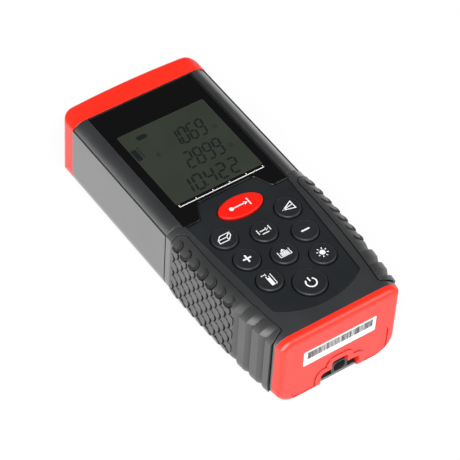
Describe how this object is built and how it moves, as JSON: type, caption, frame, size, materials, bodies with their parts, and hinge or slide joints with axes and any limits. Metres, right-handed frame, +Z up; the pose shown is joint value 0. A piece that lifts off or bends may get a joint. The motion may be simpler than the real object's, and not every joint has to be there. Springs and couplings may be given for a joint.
{
  "type": "laser distance meter",
  "caption": "Handheld laser distance meter with a liquid crystal display, a rubber keypad, ribbed side grips and red end bumpers",
  "frame": {"origin": "centre of the bounding box, on the surface the back rests on", "axes": "+X across the case to the reader's right, +Y along the case towards the optics, +Z up through the display"},
  "size_m": [0.0514, 0.118, 0.0295],
  "materials": {
    "body_plastic": "fine-grained moulded charcoal plastic",
    "red_bumper": "satin moulded red plastic",
    "label_paper": "plain white sticker",
    "grey_plastic": "matt grey plastic",
    "window_gloss": "polished dark cover window",
    "lcd_glass": "grey-green liquid crystal panel",
    "clear_plastic": "clear light guide",
    "keypad_plastic": "matt dark keypad panel",
    "contact_steel": "bright plated spring steel",
    "board_laminate": "green solder-masked laminate",
    "screw_steel": "zinc plated steel",
    "cell_jacket": "shrink jacket on steel can",
    "optic_glass": "coated optical glass",
    "emitter_brass": "turned brass",
    "cast_alloy": "die-cast alloy",
    "grip_rubber": "soft moulded rubber",
    "key_rubber": "smooth silicone rubber",
    "measure_key_rubber": "smooth red silicone rubber"
  },
  "bodies": {
    "housing": {"upper_shell": "body_plastic", "lower_shell": "body_plastic", "front_cap": "red_bumper", "rear_cap": "red_bumper", "rating_label": "label_paper", "strap_eyelet": "grey_plastic", "display_window": "window_gloss", "lcd_panel": "lcd_glass", "backlight_guide": "clear_plastic", "keypad_panel": "keypad_plastic", "snap_domes": "contact_steel", "main_board": "board_laminate", "board_screws": "screw_steel", "case_screws": "screw_steel", "buzzer": "grey_plastic", "battery_bay": "body_plastic", "battery_cell_right": "cell_jacket", "battery_cell_left": "cell_jacket", "contact_plates": "contact_steel", "contact_springs": "contact_steel", "optic_window": "window_gloss", "receiver_tube": "grey_plastic", "receiver_lens": "optic_glass", "emitter_tube": "emitter_brass", "emitter_lens": "optic_glass", "laser_diode": "contact_steel", "sensor_board": "board_laminate", "optic_bracket": "cast_alloy", "grip_right": "grip_rubber", "grip_left": "grip_rubber"},
    "key_measure_body": {"key_measure": "measure_key_rubber"},
    "key_volume_body": {"key_volume": "key_rubber"},
    "key_tracking_body": {"key_tracking": "key_rubber"},
    "key_indirect_body": {"key_indirect": "key_rubber"},
    "key_plus_body": {"key_plus": "key_rubber"},
    "key_area_body": {"key_area": "key_rubber"},
    "key_minus_body": {"key_minus": "key_rubber"},
    "key_reference_body": {"key_reference": "key_rubber"},
    "key_clear_body": {"key_clear": "key_rubber"},
    "key_units_body": {"key_units": "key_rubber"},
    "battery_door_body": {"battery_door": "body_plastic"}
  },
  "joints": [
    {"name": "key_measure_press", "type": "slide", "parent": "housing", "child": "key_measure_body", "axis": [0, 0, -1], "range_m": [0, 0.0006], "stiffness_N_per_m": 1500},
    {"name": "key_volume_press", "type": "slide", "parent": "housing", "child": "key_volume_body", "axis": [0, 0, -1], "range_m": [0, 0.0006], "stiffness_N_per_m": 1500},
    {"name": "key_tracking_press", "type": "slide", "parent": "housing", "child": "key_tracking_body", "axis": [0, 0, -1], "range_m": [0, 0.0006], "stiffness_N_per_m": 1500},
    {"name": "key_indirect_press", "type": "slide", "parent": "housing", "child": "key_indirect_body", "axis": [0, 0, -1], "range_m": [0, 0.0006], "stiffness_N_per_m": 1500},
    {"name": "key_plus_press", "type": "slide", "parent": "housing", "child": "key_plus_body", "axis": [0, 0, -1], "range_m": [0, 0.0006], "stiffness_N_per_m": 1500},
    {"name": "key_area_press", "type": "slide", "parent": "housing", "child": "key_area_body", "axis": [0, 0, -1], "range_m": [0, 0.0006], "stiffness_N_per_m": 1500},
    {"name": "key_minus_press", "type": "slide", "parent": "housing", "child": "key_minus_body", "axis": [0, 0, -1], "range_m": [0, 0.0006], "stiffness_N_per_m": 1500},
    {"name": "key_reference_press", "type": "slide", "parent": "housing", "child": "key_reference_body", "axis": [0, 0, -1], "range_m": [0, 0.0006], "stiffness_N_per_m": 1500},
    {"name": "key_clear_press", "type": "slide", "parent": "housing", "child": "key_clear_body", "axis": [0, 0, -1], "range_m": [0, 0.0006], "stiffness_N_per_m": 1500},
    {"name": "key_units_press", "type": "slide", "parent": "housing", "child": "key_units_body", "axis": [0, 0, -1], "range_m": [0, 0.0006], "stiffness_N_per_m": 1500},
    {"name": "battery_door_swing", "type": "hinge", "parent": "housing", "child": "battery_door_body", "pos_m": [0, -0.0049, 0.0012], "axis": [1, 0, 0], "range_deg": [0, 75]}
  ]
}
